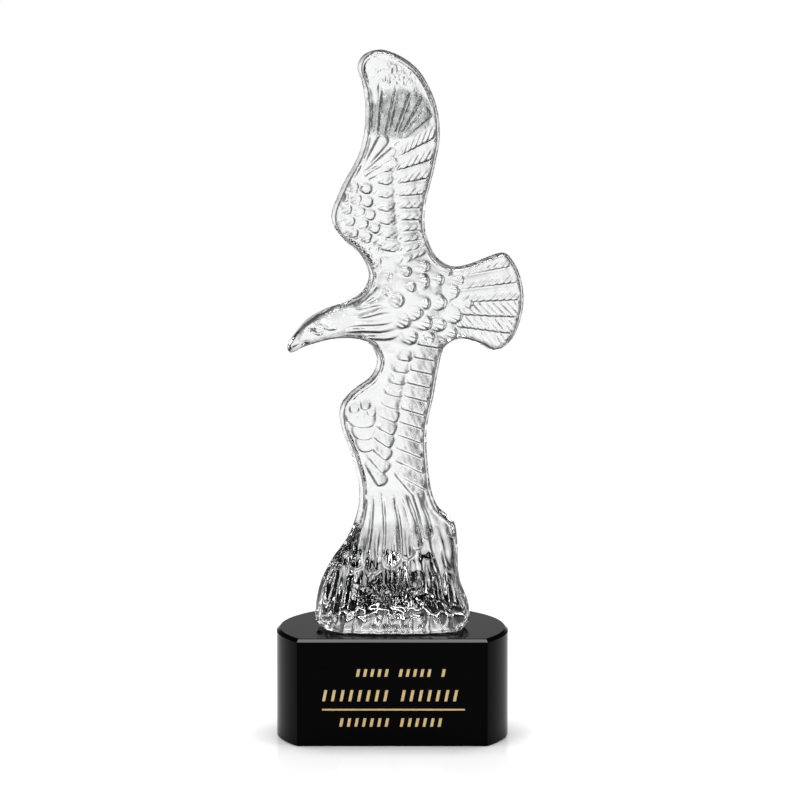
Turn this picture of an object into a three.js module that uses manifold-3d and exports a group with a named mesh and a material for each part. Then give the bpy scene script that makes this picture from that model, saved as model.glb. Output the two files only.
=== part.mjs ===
// A clear cast-crystal eagle on a black glass base, about 30 cm tall.
// Millimetres, +Z up, seen from -Y, the head towards -X and the tail towards +X.
// The origin is the centre of the base's underside. The base's flat front faces -Y.

import * as THREE from 'three';
import { ConvexHull } from 'three/addons/math/ConvexHull.js';
import Module from 'manifold-3d';

// Driving dimensions
const base = { radius: 50.8, height: 47.6, flat: 29.2, bevel: 1.5, arcSteps: 60 };
const glueGap = 0.3;                                       // between the casting's underside and the base
const foot = {
  z: base.height + glueGap, halfWidth: 33.9, halfDepth: 20.8, plan: 2.3, top: 106, lip: 2.6,
  flutePitch: 5.6, fluteDepth: 1.7, drop: 2.2,
};
const edge = { atCentre: 4.2, perX: 0.07, least: 2.7, most: 6 };       // half depth of the side wall
const draft = { mean: 1.2, lean: 0.45, beak: 0.3 };                    // how far the front edge steps in
const crown = { front: 3.4, back: 2.2, reach: 5 };
const swell = {
  body: { x: 9, z: 191, rx: 24, rz: 17, front: 5.2, back: 3.2 },
  head: { x: -25, z: 182, rx: 15, rz: 7, front: 2.2, back: 1.6 },
};
const lift = {                                             // how far each kind of feather stands out
  primary: 1.9, vane: 2.4, covert: 2.0, scallop: 1.6, scale: 2.0, lock: 2.0, overRock: 3.6,
  beak: 1.1, brow: 1.3, eye: 1.0,
};
const mesh = { outlineStep: 3.4, contour: 1.45, step: 0.3, frontFill: 3.5, backFill: 5.5, gap: 0.6 };

// Outline of the casting, x and z, anticlockwise from the foot's right corner.
const outlinePoints = [
  [31.8, foot.z], [33.6, 50.4], [33.5, 57.5], [29.3, 70],                    // right side of the rock
  [28.4, 86], [26.8, 94.6], [20.6, 100.3], [17.7, 106],
  [15.6, 119], [15.1, 135], [18.2, 151], [20.4, 163.5],                      // lower wing, trailing edge
  [22.9, 171.6], [28.8, 175.0], [36.6, 173.4], [44.8, 170.0],                // under the tail
  [51.8, 174.6], [56.4, 186], [57.1, 195.8], [54.4, 206.2], [48.9, 213.2],   // end of the tail
  [42, 211.6], [33, 208.2], [26, 207.3], [19.5, 211.2],                        // over the tail
  [14.6, 222], [14.4, 233], [18.6, 251.5], [20.7, 265], [18.6, 279.5], [11.5, 293], [2.8, 299.6],
  [-5.5, 302], [-12.4, 299.8], [-15.1, 294.8],                               // tip of the upper wing
  [-12.7, 285.5], [-11.7, 273], [-14.2, 257.5], [-22.3, 241.5], [-26.6, 228.5], [-22.7, 220.4],
  [-14.2, 212.6], [-10.3, 203.3], [-13.1, 196.4],                            // upper wing, leading edge
  [-20, 191.8], [-29.5, 188.4], [-37.6, 183.6], [-43.4, 176.6],              // crown of the head
  [-45.9, 171.8], [-44.9, 169.6],                                            // tip of the beak
  [-37.5, 172.2], [-27, 175.2], [-16.7, 175.4], [-9.6, 172.4],               // throat
  [-6.8, 165.5], [-9.4, 158.9], [-17, 153], [-22.5, 146.3], [-22.8, 138.5], [-17.9, 124],
  [-14.8, 111.5], [-15, 100.5],                                              // lower wing, leading edge
  [-19.6, 87.6], [-27, 77], [-31.8, 66.5], [-33.7, 56.5], [-33.6, 50.4], [-31.8, foot.z],
];

const clamp = THREE.MathUtils.clamp;
const lerp = THREE.MathUtils.lerp;
const smoothstep = THREE.MathUtils.smoothstep;

// The outline's round stretches are spline curves; the underside closes it with a straight line.
function sampleOutline() {
  const control = outlinePoints.map(([x, z]) => new THREE.Vector3(x, 0, z));
  const curve = new THREE.CatmullRomCurve3(control, false, 'centripetal');
  const spans = control.length - 1;
  const points = [];
  for (let k = 0; k < spans; k += 1) {
    const pieces = Math.max(2, Math.round(control[k].distanceTo(control[k + 1]) / mesh.outlineStep));
    for (let j = 0; j < pieces; j += 1) {
      const p = curve.getPoint((k + j / pieces) / spans);
      points.push([p.x, Math.max(p.z, foot.z)]);
    }
  }
  const width = 2 * outlinePoints[0][0];
  const pieces = Math.round(width / mesh.outlineStep);
  for (let j = 0; j < pieces; j += 1) points.push([(j / pieces - 0.5) * width, foot.z]);
  return points;
}

const onUnderside = ([, z]) => z < foot.z + 0.01;

// The front and back edges of the casting lie a little inside its outline, because the side wall has draft.
function insetOutline(outline) {
  const count = outline.length;
  return outline.map((point, i) => {
    const [ax, az] = outline[(i + count - 1) % count];
    const [bx, bz] = outline[(i + 1) % count];
    const length = Math.hypot(bx - ax, bz - az);
    const nx = (bz - az) / length;
    const nz = -(bx - ax) / length;
    if (onUnderside(point)) return [point[0] * 0.965, foot.z];
    const step = (draft.mean - draft.lean * nx) * lerp(draft.beak, 1, smoothstep(point[0], -46, -36));
    return [point[0] - nx * step, Math.max(point[1] - nz * step, foot.z)];
  });
}

function insidePolygon(polygon, x, z) {
  let inside = false;
  for (let i = 0, j = polygon.length - 1; i < polygon.length; j = i, i += 1) {
    const [ax, az] = polygon[i];
    const [bx, bz] = polygon[j];
    if ((az > z) !== (bz > z) && x < ax + ((z - az) / (bz - az)) * (bx - ax)) inside = !inside;
  }
  return inside;
}

function distanceToPolygon(polygon, x, z) {
  let best = Infinity;
  for (let i = 0, j = polygon.length - 1; i < polygon.length; j = i, i += 1) {
    const [ax, az] = polygon[i];
    const [bx, bz] = polygon[j];
    if (onUnderside(polygon[i]) && onUnderside(polygon[j])) continue;
    const t = clamp(((x - ax) * (bx - ax) + (z - az) * (bz - az)) / ((bx - ax) ** 2 + (bz - az) ** 2), 0, 1);
    best = Math.min(best, Math.hypot(x - lerp(ax, bx, t), z - lerp(az, bz, t)));
  }
  return best;
}

// A feather is a tongue from its root to its tip. height is how far its tip stands out. raised says which
// of its long edges stands higher: 1 the left one as it points, -1 the right one, 0 neither. taper is its
// width at the root, blunt how long its round end is, bend bows it sideways, floor is its height at the root.
const plainFeather = { raised: 0, taper: 0.75, blunt: 1, bend: 0, floor: 0.2 };

function feather(root, tip, width, height, options) {
  const { raised, taper, blunt, bend, floor } = { ...plainFeather, ...options };
  const length = Math.hypot(tip[0] - root[0], tip[1] - root[1]);
  const dir = [(tip[0] - root[0]) / length, (tip[1] - root[1]) / length];
  return { root, length, dir, width, height, raised, taper, bend, floor, round: (width / 2) * blunt };
}

// The same tongue, placed by its lower edge, as the long wing feathers are.
function vane(edgeStart, edgeEnd, width, height, options) {
  const length = Math.hypot(edgeEnd[0] - edgeStart[0], edgeEnd[1] - edgeStart[1]);
  const up = [-(edgeEnd[1] - edgeStart[1]) / length, (edgeEnd[0] - edgeStart[0]) / length];
  const shift = ([x, z]) => [x + (up[0] * width) / 2, z + (up[1] * width) / 2];
  return feather(shift(edgeStart), shift(edgeEnd), width, height, { raised: -1, taper: 1, ...options });
}

function halfWidthAt(f, along) {
  const t = along / f.length;
  const side = (f.width / 2) * lerp(f.taper, 1, clamp(t, 0, 1));
  const over = (along - (f.length - f.round)) / f.round;
  return over > 0 ? side * Math.sqrt(Math.max(0, 1 - over * over)) : side;
}

function featherHeight(f, x, z) {
  const dx = x - f.root[0];
  const dz = z - f.root[1];
  const along = dx * f.dir[0] + dz * f.dir[1];
  if (along < 0 || along > f.length) return 0;
  const t = along / f.length;
  const across = dz * f.dir[0] - dx * f.dir[1] - f.bend * 4 * t * (1 - t);
  const half = halfWidthAt(f, along);
  if (Math.abs(across) > half) return 0;
  const rise = f.raised ? lerp((f.raised * across / (f.width / 2) + 1) / 2, t, 0.3) : t;
  return f.height * (f.floor + (1 - f.floor) * rise);
}

// Feathers of the upper wing, from its tip down to the body
function upperWing() {
  const list = [];
  const primaries = [
    [[-9.4, 262], [-7.4, 283.5], 6.0], [[-5.2, 264], [-1.0, 284.6], 6.4], [[-1, 265], [5.4, 285.6], 6.6],
    [[2.6, 265], [11.2, 283.6], 5.6], [[4.6, 262.5], [17.4, 280.5], 5.6], [[7, 260], [22.5, 272], 8.0],
  ];
  for (const [root, tip, width] of primaries) {
    list.push(feather(root, tip, width, lift.primary, { taper: 0.6, floor: 0.45 }));
  }
  for (let i = 0; i < 9; i += 1) {                                           // long trailing feathers
    const left = 254.5 - 5.07 * i;
    const right = 263.5 - 9.3 * i + 0.44 * i * i;
    list.push(vane([1.4 + 0.05 * i * i, left - 0.8], [24, right + (right - left) * 0.3], 7.4, lift.vane));
  }
  for (let i = -1; i < 6; i += 1) {                                          // first row of coverts
    const right = 1.3 + 0.13 * i * i;
    const z = 247.5 - 5.8 * i;
    list.push(feather([-10, z], [right, z - 1.9], 6.6, lift.covert, { raised: -1, blunt: 0.7 }));
  }
  for (let i = 0; i < 5; i += 1) {                                           // second row
    const right = -8.2 + 0.41 * i * i;
    const tip = [right, 241.2 - 5.6 * i];
    list.push(feather([right - 8, 244 - 6 * i], tip, 6.2, lift.covert, { raised: -1, blunt: 0.8 }));
  }
  for (let i = 0; i < 5; i += 1) {                                           // small ones at the leading edge
    const [x, z] = [1.4 * i, 241.6 - 5.4 * i];
    list.push(feather([x - 22, z + 2.2], [x - 14.6, z], 5.4, lift.scallop));
    if (i < 4) list.push(feather([i - 25, 238 - 4.9 * i], [x - 19, 236.6 - 4.9 * i], 5, lift.scallop));
  }
  const wrist = [
    [[-15.5, 244.5], [3.2, 254.6], 6.4], [[-14, 247.5], [2.4, 259.6], 5.4], [[-13, 250], [-2.4, 265.4], 7],
  ];
  for (const [root, tip, width] of wrist) {
    list.push(feather(root, tip, width, lift.covert, { raised: 1, taper: 0.4 }));
  }
  return list;
}

// Feathers of the lower wing, from the body down to its tip over the rock
function lowerWing() {
  const list = [];
  for (let k = -1; k < 10; k += 1) {                                         // long trailing feathers
    const left = 167.1 - 5.6 * k;
    const right = 165.6 - 5.95 * k - 0.035 * k * k;
    const start = [9.6 - 1.9 * k + 0.1 * k * k, left + 0.4];
    list.push(vane(start, [23, right + (right - left) * 0.8], 7.6, lift.vane));
  }
  for (let k = 0; k < 11; k += 1) {                                          // coverts, turning down the wing
    const angle = THREE.MathUtils.degToRad(-7 - 5.1 * k * (k / 10) ** 0.7);
    const tip = [10.5 - 1.35 * k, 168.4 - 5.3 * k - 0.045 * k * k];
    const reach = 10 + 0.55 * k;
    const root = [tip[0] - reach * Math.cos(angle), tip[1] - reach * Math.sin(angle)];
    list.push(feather(root, tip, 6.4, lift.covert, { raised: -1, blunt: 0.8, taper: 0.9 }));
  }
  const scallops = [                                                         // small ones at the leading edge
    [-18.2, 135, 5.4], [-13.4, 136.2, 5.4], [-9.4, 137.2, 5], [-14.4, 131.2, 9], [-12, 126.2, 9],
    [-14.6, 122.6, 6], [-18.6, 141.6, 5], [-14, 142.6, 5], [-10, 144.4, 5], [-6.4, 150.4, 5],
  ];
  for (const [x, z, width] of scallops) {
    list.push(feather([x - 1.6, z + 8], [x, z], width, lift.scallop, { taper: 0.9 }));
  }
  const primaries = [                                                        // over the rock
    [[-11.2, 109], [-16.2, 73.2], 7.0, 0.9], [[-7, 108.5], [-8.6, 70.6], 7.2, 1.2],
    [[-2.2, 107.5], [-1, 73.4], 7.6, 1.4], [[2, 105.5], [6, 77.4], 6.4, 1.6],
    [[4.4, 107], [11, 83], 5, 0.8], [[8.6, 110], [15.3, 87], 5, 0.6],
  ];
  for (const [root, tip, width, bend] of primaries) {
    list.push(feather(root, tip, width, lift.overRock, { taper: 0.6, bend, floor: 0.75, raised: 1 }));
  }
  return list;
}

// Scales of the breast, locks of the neck and the fan of the tail
function bodyAndTail() {
  const list = [];
  const columns = [                                                          // x, and z of each scale there
    [-4, [205]], [3, [208.4]], [3.9, [193.7, 184.7]], [9.8, [206.2, 199.6, 188.4, 177.6]],
    [14.6, [202, 192.7, 182.9, 175.4]], [20.2, [202, 192.1, 182.9]],
    [27, [196.4, 187.2, 179]], [32.4, [192.6]],
  ];
  for (const [x, rows] of columns) {
    for (const z of rows) {
      list.push(feather([x - 7, z + 1.6], [x + 4.2, z - 0.8], 8.4, lift.scale, { taper: 0.55 }));
    }
  }
  for (let k = 0; k < 6; k += 1) {                                           // tail feathers, fanned
    list.push(vane([26, 202.2 - 5.3 * k], [60, 208.6 - 8.1 * k], 9.4, lift.vane, { taper: 0.7 }));
  }
  const locks = [
    [[-13.5, 175.9], [2.8, 177.8]], [[-21, 178], [1.6, 181]], [[-20.5, 181], [1.4, 184.4]],
    [[-17, 184.6], [0.6, 188.2]], [[-19, 187.8], [-3.6, 196.6]],
  ];
  for (const [start, end] of locks) list.push(vane(start, end, 4.6, lift.lock, { taper: 0.5 }));
  return list;
}

// The beak, the brow and the eye of the head
function headForms() {
  return [
    feather([-36, 180.4], [-45.3, 172.6], 5, lift.beak, { taper: 1.1, floor: 0.7 }),
    feather([-24.5, 181.2], [-36.4, 180.6], 3.4, lift.brow, { taper: 0.4, floor: 0.5, raised: -1 }),
    feather([-28.6, 178.1], [-33.4, 178.4], 2.6, lift.eye, { taper: 0.9, floor: 0.9 }),
  ];
}

const feathers = [...upperWing(), ...lowerWing(), ...bodyAndTail(), ...headForms()];

function gaussian({ x, z, rx, rz }, px, pz) {
  return Math.exp(-(((px - x) / rx) ** 2) - ((pz - z) / rz) ** 2);
}

function wallDepth(x) {
  return clamp(edge.atCentre - edge.perX * x, edge.least, edge.most);
}

// Flutes run down the rock and spread as it widens.
function flute(x, z, share) {
  const spread = lerp(0.55, 1, share);
  const phase = (2 * Math.PI * x) / (foot.flutePitch * spread);
  return 0.6 * Math.cos(phase + 0.9 * Math.sin(0.21 * x)) + 0.4 * Math.sin(0.37 * phase + 0.11 * z);
}

// Half depth of the smooth form, before the feathers: side is 'front' or 'back'.
function formDepth(side, x, z, inset) {
  let depth = wallDepth(x) + crown[side] * (1 - Math.exp(-inset / crown.reach));
  depth += swell.body[side] * gaussian(swell.body, x, z) + swell.head[side] * gaussian(swell.head, x, z);
  const share = clamp((foot.top - z) / (foot.top - foot.z), 0, 1);
  if (share === 0) return depth;
  const across = clamp(Math.abs(x) / foot.halfWidth, 0, 1);
  const plan = Math.max(0, 1 - across ** foot.plan) ** (1 / foot.plan);
  const fluted = foot.halfDepth - edge.most + foot.fluteDepth * flute(x, z, share);
  const flared = edge.most + fluted * plan;
  const dropped = depth - foot.drop * smoothstep(share, 0, 0.12);
  const lip = clamp((foot.z + foot.lip - z) / foot.lip, 0, 1);
  return lerp(dropped, flared, share ** 1.5) - foot.lip * (1 - Math.sqrt(1 - lip * lip)) * 0.8;
}

// The front carries the feathers; the back is plain.
function surfaceDepth(side, x, z, inset) {
  let depth = formDepth(side, x, z, inset);
  if (side === 'front') {
    const raised = Math.max(...feathers.map((f) => featherHeight(f, x, z)));
    depth += raised * smoothstep(inset, 0, 1.2);
  }
  return depth;
}

// Points along each feather's free edge, in pairs: just on it and just off it.
function featherContours() {
  const pairs = [];
  for (const f of feathers) {
    const outline = [];
    const half = halfWidthAt(f, 0);
    const sideSteps = Math.max(2, Math.round((f.length - f.round) / (mesh.contour * 1.5)));
    for (const sign of [-1, 1]) {
      if (f.raised && sign !== f.raised) continue;
      for (let i = 1; i <= sideSteps; i += 1) {
        const along = ((f.length - f.round) * i) / sideSteps;
        outline.push([along, sign * halfWidthAt(f, along), 0, sign]);
      }
    }
    const turns = Math.max(3, Math.round((Math.PI * half) / mesh.contour));
    for (let i = 1; i < turns; i += 1) {
      const angle = Math.PI * (i / turns - 0.5);
      outline.push([f.length - f.round * (1 - Math.cos(angle)), Math.sin(angle) * (f.width / 2),
        Math.cos(angle), Math.sin(angle)]);
    }
    for (const [along, across, na, nc] of outline) {
      const t = along / f.length;
      const bow = f.bend * 4 * t * (1 - t);
      const at = (step) => {
        const a = along + na * step;
        const c = across + nc * step + bow;
        return [f.root[0] + a * f.dir[0] - c * f.dir[1], f.root[1] + a * f.dir[1] + c * f.dir[0]];
      };
      pairs.push([at(-mesh.step), at(mesh.step), f]);
    }
  }
  return pairs;
}

// A small bucket grid that refuses points closer together than a given gap
function makeSpacer() {
  const cell = 4;
  const buckets = new Map();
  const key = (i, j) => i * 10000 + j;
  const near = (x, z, gap) => {
    const i = Math.floor(x / cell);
    const j = Math.floor(z / cell);
    const reach = Math.ceil(gap / cell);
    for (let a = i - reach; a <= i + reach; a += 1) {
      for (let b = j - reach; b <= j + reach; b += 1) {
        const points = buckets.get(key(a, b)) ?? [];
        if (points.some(([px, pz]) => Math.hypot(px - x, pz - z) < gap)) return true;
      }
    }
    return false;
  };
  const add = (x, z) => {
    const k = key(Math.floor(x / cell), Math.floor(z / cell));
    if (!buckets.has(k)) buckets.set(k, []);
    buckets.get(k).push([x, z]);
  };
  return { near, add };
}

// A small fixed wobble keeps four points from lying on one circle.
const wobble = (n) => 0.04 * Math.sin(n * 12.9898);

function interiorPoints(rim, fill, contours) {
  const spacer = makeSpacer();
  for (const [x, z] of rim) spacer.add(x, z);
  const points = [];
  const fits = ([x, z], gap) => insidePolygon(rim, x, z) && distanceToPolygon(rim, x, z) > 0.9
    && z > foot.z + 0.8 && !spacer.near(x, z, gap);
  const take = ([x, z]) => {
    spacer.add(x, z);
    points.push([x + wobble(points.length), z + wobble(points.length + 0.5)]);
  };
  for (const [inner, outer, owner] of contours) {
    const own = featherHeight(owner, ...inner);
    const covered = feathers.some((f) => f !== owner && featherHeight(f, ...inner) > own);
    if (covered || !fits(inner, mesh.gap) || !fits(outer, mesh.step)) continue;
    take(inner);
    take(outer);
  }
  for (const rise of [1, foot.lip]) {
    for (let x = -foot.halfWidth; x < foot.halfWidth; x += foot.flutePitch / 2) {
      if (fits([x, foot.z + rise], 1)) take([x, foot.z + rise]);
    }
  }
  const rows = Math.round(300 / (fill * 0.866));
  for (let j = 0; j < rows; j += 1) {
    const z = foot.z + 2 + j * fill * 0.866;
    for (let i = -16; i < 17; i += 1) {
      const x = (i + (j % 2) / 2) * fill;
      if (fits([x, z], fill * 0.62)) take([x, z]);
    }
  }
  return points;
}

// Delaunay triangles: the lower side of the hull of the points lifted onto a bowl
function triangulate(points, rim) {
  const middle = 175;
  const lifted = points.map(([x, z]) => new THREE.Vector3(x, z - middle, x * x + (z - middle) ** 2));
  const index = new Map(lifted.map((v, i) => [v, i]));
  const triangles = [];
  for (const face of new ConvexHull().setFromPoints(lifted).faces) {
    if (face.normal.z >= 0) continue;
    const [a, b, c] = [face.edge, face.edge.next, face.edge.next.next].map((e) => index.get(e.head().point));
    const x = (points[a][0] + points[b][0] + points[c][0]) / 3;
    const z = (points[a][1] + points[b][1] + points[c][1]) / 3;
    if (insidePolygon(rim, x, z)) triangles.push([a, b, c]);
  }
  return triangles;
}

function turned(points, [a, b, c], wanted) {
  const area = (points[b][0] - points[a][0]) * (points[c][1] - points[a][1])
    - (points[c][0] - points[a][0]) * (points[b][1] - points[a][1]);
  return Math.sign(area) === wanted ? [a, b, c] : [a, c, b];
}

function geometryFrom(vertices, triangles) {
  const geometry = new THREE.BufferGeometry();
  geometry.setAttribute('position', new THREE.Float32BufferAttribute(vertices.flat(), 3));
  geometry.setIndex(triangles.flat());
  geometry.computeVertexNormals();
  return geometry;
}

// The casting: a carved front, a plain back and a drafted wall between them
function eagleGeometry() {
  const outline = sampleOutline();
  const rim = insetOutline(outline);
  const vertices = [];
  const triangles = [];
  const sides = [
    { side: 'front', sign: -1, fill: mesh.frontFill, contours: featherContours() },
    { side: 'back', sign: 1, fill: mesh.backFill, contours: [] },
  ];
  for (const { side, sign, fill, contours } of sides) {
    const points = [...rim, ...interiorPoints(rim, fill, contours)];
    const start = vertices.length;
    points.forEach(([x, z], i) => {
      const inset = i < rim.length ? 0 : distanceToPolygon(rim, x, z);
      vertices.push([x, sign * surfaceDepth(side, x, z, inset), z]);
    });
    for (const t of triangulate(points, rim)) {
      triangles.push(turned(points, t, -sign).map((i) => i + start));
    }
    if (side === 'back') joinRims(rim.length, start);
  }

  function joinRims(count, back) {
    const middle = vertices.length;
    for (const [x, z] of outline) vertices.push([x, 0, z]);
    for (let i = 0; i < count; i += 1) {
      const j = (i + 1) % count;
      triangles.push([i, middle + i, j], [middle + i, middle + j, j]);
      triangles.push([middle + i, back + i, middle + j], [back + i, back + j, middle + j]);
    }
  }
  return geometryFrom(vertices, triangles);
}

// Plan of the base: an arc closed by the flat, set in by an amount all round
function basePlan(inset) {
  const radius = base.radius - inset;
  const flat = base.flat - inset;
  const start = -Math.asin(flat / radius);
  const sweep = Math.PI - 2 * start;
  const ring = [];
  for (let i = 0; i <= base.arcSteps; i += 1) {
    const angle = start + (sweep * i) / base.arcSteps;
    ring.push([radius * Math.cos(angle), radius * Math.sin(angle)]);
  }
  return ring;
}

function stackRings(rings) {
  const count = rings[0].points.length;
  const vertices = rings.flatMap(({ points, z }) => points.map(([x, y]) => [x, y, z]));
  const triangles = [];
  for (let r = 0; r + 1 < rings.length; r += 1) {
    for (let i = 0; i < count; i += 1) {
      const [a, b] = [r * count + i, r * count + ((i + 1) % count)];
      triangles.push([a, b, a + count], [b, b + count, a + count]);
    }
  }
  const last = (rings.length - 1) * count;
  for (let i = 1; i + 1 < count; i += 1) {
    triangles.push([0, i + 1, i], [last, last + i, last + i + 1]);
  }
  return geometryFrom(vertices, triangles);
}

// Rows of slanted strokes sunk into the front of the base, where the marking is
const marking = { depth: 0.4, stroke: 1.3, slant: 0.2 };
const markingRows = [
  { left: -15.9, right: 24.6, z: 32.6, height: 3.4, pitch: 3.1, gapEvery: 6 },
  { left: -30.6, right: 31.7, z: 22.5, height: 5.0, pitch: 3.8, gapEvery: 9 },
  { left: -30.6, right: 31.7, z: 16.3, height: 0.8, pitch: 0, gapEvery: 0 },
  { left: -23.2, right: 24.2, z: 10.6, height: 3.8, pitch: 3.3, gapEvery: 8 },
];

function strokeShapes() {
  const shapes = [];
  for (const { left, right, z, height, pitch, gapEvery } of markingRows) {
    const count = pitch ? Math.floor((right - left) / pitch) : 1;
    for (let i = 0; i < count; i += 1) {
      if (gapEvery && i % gapEvery === gapEvery - 1) continue;
      const x = pitch ? left + i * pitch : left;
      const width = pitch ? marking.stroke : right - left;
      const lean = height * marking.slant * (pitch ? 1 : 0);
      shapes.push(new THREE.Shape([
        new THREE.Vector2(x, z - height / 2), new THREE.Vector2(x + width, z - height / 2),
        new THREE.Vector2(x + width + lean, z + height / 2), new THREE.Vector2(x + lean, z + height / 2),
      ]));
    }
  }
  return shapes;
}

const wasm = await Module();
wasm.setup();

function toSolid(geometry) {
  const position = geometry.getAttribute('position');
  const seen = new Map();
  const vertProperties = [];
  const remap = [];
  for (let i = 0; i < position.count; i += 1) {
    const p = [position.getX(i), position.getY(i), position.getZ(i)];
    const key = p.map((v) => v.toFixed(4)).join(' ');
    if (!seen.has(key)) {
      seen.set(key, seen.size);
      vertProperties.push(...p);
    }
    remap.push(seen.get(key));
  }
  const index = geometry.index ? Array.from(geometry.index.array) : remap.map((_, i) => i);
  const mesh3d = new wasm.Mesh({
    numProp: 3,
    vertProperties: new Float32Array(vertProperties),
    triVerts: new Uint32Array(index.map((i) => remap[i])),
  });
  return new wasm.Manifold(mesh3d);
}

function fromSolid(solid) {
  const { vertProperties, triVerts } = solid.getMesh();
  const geometry = new THREE.BufferGeometry();
  geometry.setAttribute('position', new THREE.BufferAttribute(vertProperties, 3));
  geometry.setIndex(new THREE.BufferAttribute(triVerts, 1));
  geometry.computeVertexNormals();
  return geometry;
}

function baseGeometry() {
  const block = stackRings([
    { points: basePlan(0), z: 0 },
    { points: basePlan(0), z: base.height - base.bevel },
    { points: basePlan(base.bevel), z: base.height },
  ]);
  let solid = toSolid(block);
  for (const shape of strokeShapes()) {
    const cutter = new THREE.ExtrudeGeometry(shape, { depth: 2 * marking.depth, bevelEnabled: false });
    cutter.rotateX(Math.PI / 2);                        // the shape's y becomes z, its depth runs to -y
    cutter.translate(0, marking.depth - base.flat, 0);
    solid = solid.subtract(toSolid(cutter));
  }
  return fromSolid(solid);
}

const crystal = new THREE.MeshStandardMaterial({ color: 0xeef4f6, roughness: 0.04, metalness: 0 });
crystal.transparent = true;
crystal.opacity = 0.35;
const blackGlass = new THREE.MeshStandardMaterial({ color: 0x050506, roughness: 0.06, metalness: 0 });

const eagle = new THREE.Mesh(eagleGeometry(), crystal);
eagle.name = 'eagle';
const block = new THREE.Mesh(baseGeometry(), blackGlass);
block.name = 'base';

const sculpture = new THREE.Group();
sculpture.add(eagle, block);
export default sculpture;
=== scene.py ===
# A clear cast crystal eagle on a black glass block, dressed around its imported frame.
# Metres in Blender, +Z up, the front at -Y. The casting's own sizes are millimetres, as its formulas are.
import math

import bmesh
import bpy
import numpy as np
from mathutils import Matrix, Vector, noise


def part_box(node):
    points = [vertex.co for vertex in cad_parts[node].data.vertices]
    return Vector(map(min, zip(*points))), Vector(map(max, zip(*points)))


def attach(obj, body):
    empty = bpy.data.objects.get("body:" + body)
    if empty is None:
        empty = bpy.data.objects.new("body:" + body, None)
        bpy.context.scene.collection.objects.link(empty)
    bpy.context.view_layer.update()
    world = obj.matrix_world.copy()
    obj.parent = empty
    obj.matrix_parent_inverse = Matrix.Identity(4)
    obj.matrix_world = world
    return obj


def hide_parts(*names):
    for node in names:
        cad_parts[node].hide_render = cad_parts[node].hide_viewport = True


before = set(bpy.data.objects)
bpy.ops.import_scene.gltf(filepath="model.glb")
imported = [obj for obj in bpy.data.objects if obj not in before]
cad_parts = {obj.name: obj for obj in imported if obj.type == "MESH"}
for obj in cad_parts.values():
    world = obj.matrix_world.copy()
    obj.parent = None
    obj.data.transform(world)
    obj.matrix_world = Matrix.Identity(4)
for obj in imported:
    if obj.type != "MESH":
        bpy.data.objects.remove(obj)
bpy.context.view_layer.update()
mm = 0.001
touch = 0.01                                     # in millimetres: closer than this is the same place
print("frame loaded:", sorted(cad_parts))


def smoothStep(value, low, high):
    t = np.clip((value - low) / (high - low), 0.0, 1.0)
    return t * t * (3 - 2 * t)


def mix(a, b, t):
    return a + (b - a) * t


def newPiece(name, bm, material):
    mesh = bpy.data.meshes.new(name)
    bm.to_mesh(mesh)
    bm.free()
    piece = bpy.data.objects.new(name, mesh)
    bpy.context.scene.collection.objects.link(piece)
    mesh.materials.append(material)
    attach(piece, "root")
    return piece


# Shader maths

class Signal:                                    # a socket's value, which can be added, multiplied, divided
    def __init__(self, finish, socket):
        self.finish = finish
        self.socket = socket

    def math(self, operation, *others):
        values = dict(enumerate((self, *others)))
        return self.finish.node("ShaderNodeMath", {"operation": operation}, values)

    def reflected(self, operation, other):       # the other value comes first, as in 1 - mask
        return self.finish.node("ShaderNodeMath", {"operation": operation}, {0: other, 1: self})

    def __add__(self, other):
        return self.math("ADD", other)

    def __sub__(self, other):
        return self.math("SUBTRACT", other)

    def __rsub__(self, other):
        return self.reflected("SUBTRACT", other)

    def __mul__(self, other):
        return self.math("MULTIPLY", other)

    def __truediv__(self, other):
        return self.math("DIVIDE", other)

    def __rtruediv__(self, other):
        return self.reflected("DIVIDE", other)

    __radd__ = __add__
    __rmul__ = __mul__

    def step(self, low, high):                   # 0 below low, 1 above high, smooth between
        settings = {"interpolation_type": "SMOOTHSTEP"}
        values = {"Value": self, "From Min": low, "From Max": high, "To Min": 0.0, "To Max": 1.0}
        return self.finish.node("ShaderNodeMapRange", settings, values)

    def between(self, low, high):                # 0 to 1 becomes low to high
        return self * (high - low) + low


class Finish:                                    # one node tree, of a material or of the world
    def __init__(self, owner):
        owner.use_nodes = True
        self.tree = owner.node_tree
        self.tree.nodes.clear()

    def node(self, kind, settings=None, inputs=None, out=0):
        made = self.tree.nodes.new(kind)
        for name, value in (settings or {}).items():
            setattr(made, name, value)
        for name, value in (inputs or {}).items():
            if isinstance(value, Signal):
                self.tree.links.new(value.socket, made.inputs[name])
            else:
                made.inputs[name].default_value = value
        return Signal(self, made.outputs[out]) if len(made.outputs) else made

    def place(self):                             # object coordinates, in metres
        return self.node("ShaderNodeTexCoord", out=3)

    def axis(self, vector, index):
        return self.node("ShaderNodeSeparateXYZ", inputs={"Vector": vector}, out=index)

    def grain(self, vector, scale, detail, stretch=(1, 1, 1)):
        scaled = self.node("ShaderNodeMapping", inputs={"Vector": vector, "Scale": stretch})
        values = {"Vector": scaled, "Scale": scale, "Detail": detail}
        return self.node("ShaderNodeTexNoise", {"noise_dimensions": "3D"}, values)

    def blend(self, share, first, second):       # from one colour to the other
        values = {0: share, 6: first, 7: second}
        return self.node("ShaderNodeMix", {"data_type": "RGBA"}, values, out=2)

    def bump(self, height, distance):
        return self.node("ShaderNodeBump", inputs={"Height": height, "Distance": distance})


def newMaterial(name, colour, settings, recipe=None):
    material = bpy.data.materials.new(name)
    material.diffuse_color = colour
    finish = Finish(material)
    varying = recipe(finish) if recipe else {}
    shader = finish.node("ShaderNodeBsdfPrincipled", inputs={"Base Color": colour, **settings, **varying})
    finish.node("ShaderNodeOutputMaterial", inputs={"Surface": shader})
    return material


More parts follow.
